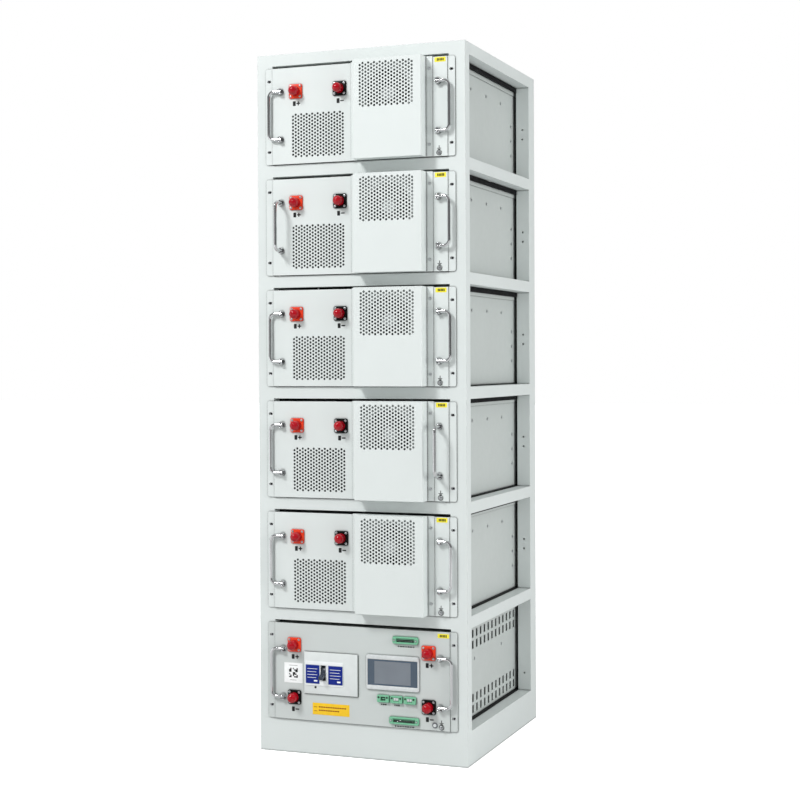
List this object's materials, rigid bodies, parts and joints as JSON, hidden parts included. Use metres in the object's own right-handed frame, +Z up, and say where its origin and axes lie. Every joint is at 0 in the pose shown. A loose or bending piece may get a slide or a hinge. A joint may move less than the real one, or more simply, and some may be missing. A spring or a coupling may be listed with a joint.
{
  "type": "rack battery pack",
  "caption": "Free-standing open rack of slide-in battery modules with swinging handles and fan covers, above a control unit with breaker and touchscreen.",
  "frame": {"origin": "centre of the footprint, on the floor", "axes": "+Z up, front faces -Y, +X to the right seen from the front"},
  "size_m": [0.53, 0.6095, 1.6802],
  "materials": {
    "frame_paint": "fine-textured light grey powder coat",
    "case_paint": "fine-textured light grey powder coat",
    "panel_paint": "fine-textured light grey powder coat",
    "cover_paint": "fine-textured off-white powder coat",
    "rail_paint": "black powder coat",
    "zinc_steel": "bright zinc plate",
    "chrome": "polished",
    "connector_plastic": "red caps on orange and black flanges",
    "cell_film": "aluminium cans in blue film",
    "fan_plastic": "black moulded",
    "contactor_plastic": "ivory moulded",
    "breaker_plastic": "white moulded",
    "toggle_plastic": "dark moulded",
    "screen_plastic": "pale bezel with a dark glass",
    "terminal_plastic": "green moulded",
    "button_plastic": "pale moulded"
  },
  "bodies": {
    "rack": {"rack_frame": "frame_paint", "slide_rails": "rail_paint", "frame_fasteners": "zinc_steel"},
    "module_1": {"module_1_case": "case_paint", "module_1_front_panel": "panel_paint", "module_1_fan_cover": "cover_paint", "module_1_connectors": "connector_plastic", "module_1_fasteners": "zinc_steel", "module_1_internals": "cell_film"},
    "module_1_handle_left": {"module_1_handle_left": "chrome"},
    "module_1_handle_right": {"module_1_handle_right": "chrome"},
    "module_1_fan": {"module_1_fan_rotor": "fan_plastic"},
    "module_2": {"module_2_case": "case_paint", "module_2_front_panel": "panel_paint", "module_2_fan_cover": "cover_paint", "module_2_connectors": "connector_plastic", "module_2_fasteners": "zinc_steel", "module_2_internals": "cell_film"},
    "module_2_handle_left": {"module_2_handle_left": "chrome"},
    "module_2_handle_right": {"module_2_handle_right": "chrome"},
    "module_2_fan": {"module_2_fan_rotor": "fan_plastic"},
    "module_3": {"module_3_case": "case_paint", "module_3_front_panel": "panel_paint", "module_3_fan_cover": "cover_paint", "module_3_connectors": "connector_plastic", "module_3_fasteners": "zinc_steel", "module_3_internals": "cell_film"},
    "module_3_handle_left": {"module_3_handle_left": "chrome"},
    "module_3_handle_right": {"module_3_handle_right": "chrome"},
    "module_3_fan": {"module_3_fan_rotor": "fan_plastic"},
    "module_4": {"module_4_case": "case_paint", "module_4_front_panel": "panel_paint", "module_4_fan_cover": "cover_paint", "module_4_connectors": "connector_plastic", "module_4_fasteners": "zinc_steel", "module_4_internals": "cell_film"},
    "module_4_handle_left": {"module_4_handle_left": "chrome"},
    "module_4_handle_right": {"module_4_handle_right": "chrome"},
    "module_4_fan": {"module_4_fan_rotor": "fan_plastic"},
    "module_5": {"module_5_case": "case_paint", "module_5_front_panel": "panel_paint", "module_5_fan_cover": "cover_paint", "module_5_connectors": "connector_plastic", "module_5_fasteners": "zinc_steel", "module_5_internals": "cell_film"},
    "module_5_handle_left": {"module_5_handle_left": "chrome"},
    "module_5_handle_right": {"module_5_handle_right": "chrome"},
    "module_5_fan": {"module_5_fan_rotor": "fan_plastic"},
    "control_unit": {"control_case": "case_paint", "control_front_panel": "panel_paint", "control_connectors": "connector_plastic", "control_fasteners": "zinc_steel", "control_internals": "contactor_plastic", "control_breaker": "breaker_plastic", "control_touchscreen": "screen_plastic", "control_terminal_blocks": "terminal_plastic"},
    "control_handle_left": {"control_handle_left": "chrome"},
    "control_handle_right": {"control_handle_right": "chrome"},
    "breaker_toggle": {"control_breaker_toggle": "toggle_plastic"},
    "start_button": {"control_start_button": "button_plastic"}
  },
  "joints": [
    {"name": "module_1_slide", "type": "slide", "parent": "rack", "child": "module_1", "axis": [0, -1, 0], "range_m": [0, 0.4]},
    {"name": "module_1_handle_left_hinge", "type": "hinge", "parent": "module_1", "child": "module_1_handle_left", "pos_m": [-0.2005, -0.294, 1.5315], "axis": [0, 0, -1], "range_deg": [-90, 0]},
    {"name": "module_1_handle_right_hinge", "type": "hinge", "parent": "module_1", "child": "module_1_handle_right", "pos_m": [0.2005, -0.294, 1.5315], "axis": [0, 0, 1], "range_deg": [-90, 0]},
    {"name": "module_1_fan_spin", "type": "hinge", "parent": "module_1", "child": "module_1_fan", "pos_m": [0.075, -0.2709, 1.5705], "axis": [0, 1, 0], "continuous": true},
    {"name": "module_2_slide", "type": "slide", "parent": "rack", "child": "module_2", "axis": [0, -1, 0], "range_m": [0, 0.4]},
    {"name": "module_2_handle_left_hinge", "type": "hinge", "parent": "module_2", "child": "module_2_handle_left", "pos_m": [-0.2005, -0.294, 1.2648], "axis": [0, 0, -1], "range_deg": [0, 90]},
    {"name": "module_2_handle_right_hinge", "type": "hinge", "parent": "module_2", "child": "module_2_handle_right", "pos_m": [0.2005, -0.294, 1.2648], "axis": [0, 0, 1], "range_deg": [-82, 8]},
    {"name": "module_2_fan_spin", "type": "hinge", "parent": "module_2", "child": "module_2_fan", "pos_m": [0.075, -0.2709, 1.3038], "axis": [0, 1, 0], "continuous": true},
    {"name": "module_3_slide", "type": "slide", "parent": "rack", "child": "module_3", "axis": [0, -1, 0], "range_m": [0, 0.4]},
    {"name": "module_3_handle_left_hinge", "type": "hinge", "parent": "module_3", "child": "module_3_handle_left", "pos_m": [-0.2005, -0.294, 0.9981], "axis": [0, 0, -1], "range_deg": [-90, 0]},
    {"name": "module_3_handle_right_hinge", "type": "hinge", "parent": "module_3", "child": "module_3_handle_right", "pos_m": [0.2005, -0.294, 0.9981], "axis": [0, 0, 1], "range_deg": [-90, 0]},
    {"name": "module_3_fan_spin", "type": "hinge", "parent": "module_3", "child": "module_3_fan", "pos_m": [0.075, -0.2709, 1.0371], "axis": [0, 1, 0], "continuous": true},
    {"name": "module_4_slide", "type": "slide", "parent": "rack", "child": "module_4", "axis": [0, -1, 0], "range_m": [0, 0.4]},
    {"name": "module_4_handle_left_hinge", "type": "hinge", "parent": "module_4", "child": "module_4_handle_left", "pos_m": [-0.2005, -0.294, 0.7314], "axis": [0, 0, -1], "range_deg": [-90, 0]},
    {"name": "module_4_handle_right_hinge", "type": "hinge", "parent": "module_4", "child": "module_4_handle_right", "pos_m": [0.2005, -0.294, 0.7314], "axis": [0, 0, 1], "range_deg": [0, 90]},
    {"name": "module_4_fan_spin", "type": "hinge", "parent": "module_4", "child": "module_4_fan", "pos_m": [0.075, -0.2709, 0.7704], "axis": [0, 1, 0], "continuous": true},
    {"name": "module_5_slide", "type": "slide", "parent": "rack", "child": "module_5", "axis": [0, -1, 0], "range_m": [0, 0.4]},
    {"name": "module_5_handle_left_hinge", "type": "hinge", "parent": "module_5", "child": "module_5_handle_left", "pos_m": [-0.2005, -0.294, 0.4647], "axis": [0, 0, -1], "range_deg": [-90, 0]},
    {"name": "module_5_handle_right_hinge", "type": "hinge", "parent": "module_5", "child": "module_5_handle_right", "pos_m": [0.2005, -0.294, 0.4647], "axis": [0, 0, 1], "range_deg": [-86, 4]},
    {"name": "module_5_fan_spin", "type": "hinge", "parent": "module_5", "child": "module_5_fan", "pos_m": [0.075, -0.2709, 0.5037], "axis": [0, 1, 0], "continuous": true},
    {"name": "control_unit_slide", "type": "slide", "parent": "rack", "child": "control_unit", "axis": [0, -1, 0], "range_m": [0, 0.4]},
    {"name": "control_handle_left_hinge", "type": "hinge", "parent": "control_unit", "child": "control_handle_left", "pos_m": [-0.2005, -0.294, 0.193], "axis": [0, 0, -1], "range_deg": [-90, 0]},
    {"name": "control_handle_right_hinge", "type": "hinge", "parent": "control_unit", "child": "control_handle_right", "pos_m": [0.2005, -0.294, 0.193], "axis": [0, 0, 1], "range_deg": [-90, 0]},
    {"name": "breaker_toggle_hinge", "type": "hinge", "parent": "control_unit", "child": "breaker_toggle", "pos_m": [-0.0946, -0.272, 0.198], "axis": [-1, 0, 0], "range_deg": [0, 30]},
    {"name": "start_button_press", "type": "slide", "parent": "control_unit", "child": "start_button", "axis": [0, 1, 0], "range_m": [0, 0.0015], "stiffness_N_per_m": 1500}
  ]
}
